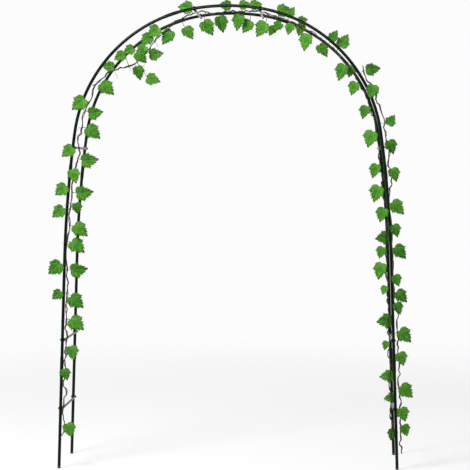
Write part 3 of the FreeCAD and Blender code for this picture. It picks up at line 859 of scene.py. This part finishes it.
def leaf_green():
    """Stiffened leaf cloth: printed mottle, pressed paler veins, a margin darker than the rest, painted shade
    about the middle of the blade, a pale back and a weave.
    """
    f = Finish("leaf_cloth")
    spot = f.node("ShaderNodeAttribute", {"attribute_name": "blade"}, output=1)
    upper = f.node("ShaderNodeAttribute", {"attribute_name": "upper"}, output=2)
    along, side, tone = (f.node("ShaderNodeSeparateXYZ", None, {"Vector": spot}, output=k) for k in range(3))
    at = f.place()
    veins = fine = None
    for angle in LOBE_ANGLES:
        cos, sin = math.cos(math.radians(angle)), math.sin(math.radians(angle))
        ahead = along * cos + side.size() * sin
        off = (side.size() * cos - along * sin).size()
        line = (off / (0.016 - 0.009 * ahead)).ease(1.0, 0.35) * ahead.ease(0.0, 0.02)
        twig = ((ahead - 0.8 * off) / 0.125).math("FRACT")
        twigs = (twig - 0.5).size().ease(0.09, 0.02) * off.ease(0.26, 0.10) * ahead.ease(0.02, 0.1)
        veins = line if veins is None else veins.most(line)
        fine = twigs if fine is None else fine.most(twigs)
    web = f.node("ShaderNodeTexVoronoi", {"feature": "DISTANCE_TO_EDGE"}, {"Vector": at, "Scale": 420.0})
    web = web.ease(0.10, 0.0)
    mottle = f.noise(at, 85.0, 5.0, 0.62).ease(0.35, 0.68)
    green = f.blend(mottle, (0.010, 0.105, 0.003), (0.072, 0.270, 0.014))
    green = f.blend(tone * 0.30, green, (0.110, 0.300, 0.028))
    green = f.blend(tone.ease(0.6, 0.0) * 0.45, green, (0.008, 0.085, 0.004))
    # Painted shade: every blade is darkened about its middle, a quarter of the way from the stalk towards the
    # tip.
    centre = ((along - 0.25) ** 2.0 + side * side).ease(0.09, 0.0)
    green = f.blend(centre * 0.55, green, (0.010, 0.110, 0.020))
    green = f.blend(fine * 0.35 + web * 0.06, green, (0.190, 0.430, 0.060))
    green = f.blend(veins * 0.60, green, (0.250, 0.480, 0.090))
    back = f.blend(veins * 0.6 + fine * 0.25, (0.120, 0.280, 0.070), (0.240, 0.420, 0.150))
    green = f.blend(upper, back, green)
    edge = f.node("ShaderNodeAttribute", {"attribute_name": "margin"}, output=2)
    # Darker towards the margin, over the outer fifth of the blade.
    green = f.blend(edge.ease(0.78, 1.0) * 0.80, green, (0.018, 0.060, 0.008))
    green = f.blend(edge.ease(0.93, 1.0) * along.ease(0.75, 1.0), green, (0.075, 0.055, 0.020))
    across, up = (f.node("ShaderNodeSeparateXYZ", None, {"Vector": at}, output=k) for k in (0, 2))
    threads = (across * WEAVE).math("SINE") * (up * WEAVE).math("SINE")
    relief = mottle * 0.4 - veins * 1.0 - fine * 0.5 - web * 0.25 + threads * 0.08
    rough = 0.50 - veins * 0.08 + mottle * 0.08
    return f.coat(base_color=green, roughness=rough, specular_ior_level=0.04,
                  normal=f.bump(relief, 0.6, 0.6 * MM))


def stem_tape():
    """Matt grey-brown paper tape: crepe creases, slow patches of tone and a few pale rubbed threads."""
    f = Finish("stem_tape")
    at = f.place()
    streak = f.noise(at, 260.0, 5.0, 0.6)
    patch = f.noise(at, 45.0, 3.0)
    colour = f.blend(patch.ease(0.35, 0.7), (0.020, 0.012, 0.008), (0.060, 0.042, 0.032))
    colour = f.blend(streak.ease(0.45, 0.75) * 0.30, colour, (0.150, 0.120, 0.095))
    colour = f.blend(streak.ease(0.45, 0.25) * 0.6, colour, (0.030, 0.022, 0.017))
    return f.coat(base_color=colour, roughness=0.82, specular_ior_level=0.25,
                  normal=f.bump(streak, 0.7, 0.5 * MM))


def stalk_skin():
    """Moulded leaf stalks: green, sprayed reddish brown in places."""
    f = Finish("leaf_stalk")
    at = f.place()
    patch = f.noise(at, 40.0, 3.0).ease(0.35, 0.65)
    colour = f.blend(patch, (0.050, 0.050, 0.018), (0.055, 0.024, 0.018))
    grain = f.noise(at, 500.0, 3.0)
    return f.coat(base_color=colour, roughness=0.6, specular_ior_level=0.3,
                  normal=f.bump(grain, 0.3, 0.2 * MM))


def blackened():
    """Blackened satin steel: fine grain, and greyer worn spots that are a little smoother."""
    f = Finish("blackened_steel")
    at = f.place()
    worn = f.noise(at, 180.0, 4.0).ease(0.5, 0.75)
    colour = f.blend(worn, (0.022, 0.026, 0.022), (0.075, 0.080, 0.078))
    return f.coat(base_color=colour, roughness=0.45 - worn * 0.12, specular_ior_level=0.3,
                  normal=f.bump(f.noise(at, 2500.0, 2.0), 0.15, 0.1 * MM))


def black_plastic():
    """Moulded black plastic with a fine grain and scuffed, dusty patches."""
    f = Finish("black_plastic")
    at = f.place()
    scuff = f.noise(at, 120.0, 5.0, 0.7).ease(0.5, 0.75)
    colour = f.blend(scuff * 0.5, (0.012, 0.012, 0.013), (0.060, 0.058, 0.055))
    grain = f.noise(at, 1600.0, 2.0)
    return f.coat(base_color=colour, roughness=0.55 + scuff * 0.2, specular_ior_level=0.4,
                  normal=f.bump(grain, 0.25, 0.1 * MM))


FINISHES = {"enamel": enamel(), "leaf": leaf_green(), "tape": stem_tape(), "stalk": stalk_skin(),
            "blackened": blackened(), "plastic": black_plastic()}
SLOT_FINISHES = {"green_enamel": "enamel", "fastener_steel": "blackened", "black_plastic": "plastic",
                 "stem_bark": "tape", "leaf": "leaf"}


def finish_solids():
    """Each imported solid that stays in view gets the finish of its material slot."""
    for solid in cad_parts.values():
        for place, slot in enumerate(solid.material_slots):
            wanted = SLOT_FINISHES.get(slot.material.name.split(".")[0])
            if wanted:
                solid.material_slots[place].material = FINISHES[wanted]


# ---------------------------------------------------------------- studio


def seen_directly(f):
    """1 for what the camera sees, and what gloss or glass shows of it, and 0 for light on the object."""
    seen, gloss, through = (f.node("ShaderNodeLightPath", output=ray) for ray in
                            ("Is Camera Ray", "Is Glossy Ray", "Is Transmission Ray"))
    return seen.most(gloss).most(through)


def floor_finish():
    """White floor that shows a share of its shadows near the feet and passes into the white room."""
    f = Finish("studio_floor")
    away = f.node("ShaderNodeVectorMath", {"operation": "LENGTH"}, {0: f.place()}, output="Value")
    share = (1 - FLOOR_SHADOW * (1 - away.ease(*FLOOR_FADE))) * seen_directly(f)
    matt = f.node("ShaderNodeBsdfDiffuse", None, {"Color": (0.88, 0.88, 0.88, 1)})
    glow = f.node("ShaderNodeEmission", None, {"Color": (1, 1, 1, 1), "Strength": ROOM_WHITE})
    return f.close(f.node("ShaderNodeMixShader", None, {0: share, 1: matt, 2: glow}))


def white_room():
    """World of two whites: one that is seen and one that lights the object."""
    f = Finish("white_room", world=True)
    strength = ROOM_LIGHT + (ROOM_WHITE - ROOM_LIGHT) * seen_directly(f)
    shade = f.node("ShaderNodeBackground", None, {"Color": (1, 1, 1, 1), "Strength": strength})
    bpy.context.scene.world = f.close(shade)


def disc_lamp(name, width, power, place, turn):
    """A round lamp at a place, turned from straight down by angles in degrees."""
    lamp = bpy.data.lights.new(name, "AREA")
    lamp.shape, lamp.size, lamp.energy = "DISK", width, power
    lamp_object = bpy.data.objects.new(name, lamp)
    lamp_object.location = place
    lamp_object.rotation_euler = [math.radians(angle) for angle in turn]
    bpy.context.scene.collection.objects.link(lamp_object)
    return lamp_object


def studio():
    """White floor and room, a soft lamp above, a lamp in front that only adds gloss, and the camera."""
    mesh = bpy.data.meshes.new("floor")
    corners = [(x * FLOOR_SIZE, y * FLOOR_SIZE, 0) for x, y in ((-1, -1), (1, -1), (1, 1), (-1, 1))]
    mesh.from_pydata(corners, [], [(0, 1, 2, 3)])
    floor = bpy.data.objects.new("floor", mesh)
    bpy.context.scene.collection.objects.link(floor)
    mesh.materials.append(floor_finish())
    white_room()

    disc_lamp("soft_lamp", width=1.8, power=325.0, place=(-2.5, -3.0, 5.0), turn=(38, 0, -38))
    gloss = disc_lamp("gloss_lamp", width=1.6, power=300.0, place=(-0.5, -8.9, 2.8), turn=(88, 0, -3))
    gloss.visible_diffuse = False

    camera = bpy.data.cameras.new("camera")
    camera.lens, camera.sensor_width = CAMERA_LENS, CAMERA_SENSOR
    camera.shift_x, camera.shift_y = CAMERA_SHIFT
    camera_object = bpy.data.objects.new("camera", camera)
    camera_object.location = CAMERA_PLACE
    camera_object.rotation_euler = [math.radians(turn) for turn in CAMERA_TURN]
    bpy.context.scene.collection.objects.link(camera_object)
    bpy.context.scene.camera = camera_object
    bpy.context.scene.view_settings.view_transform = "Standard"


screws()
nuts()
garland()
finish_solids()
studio()
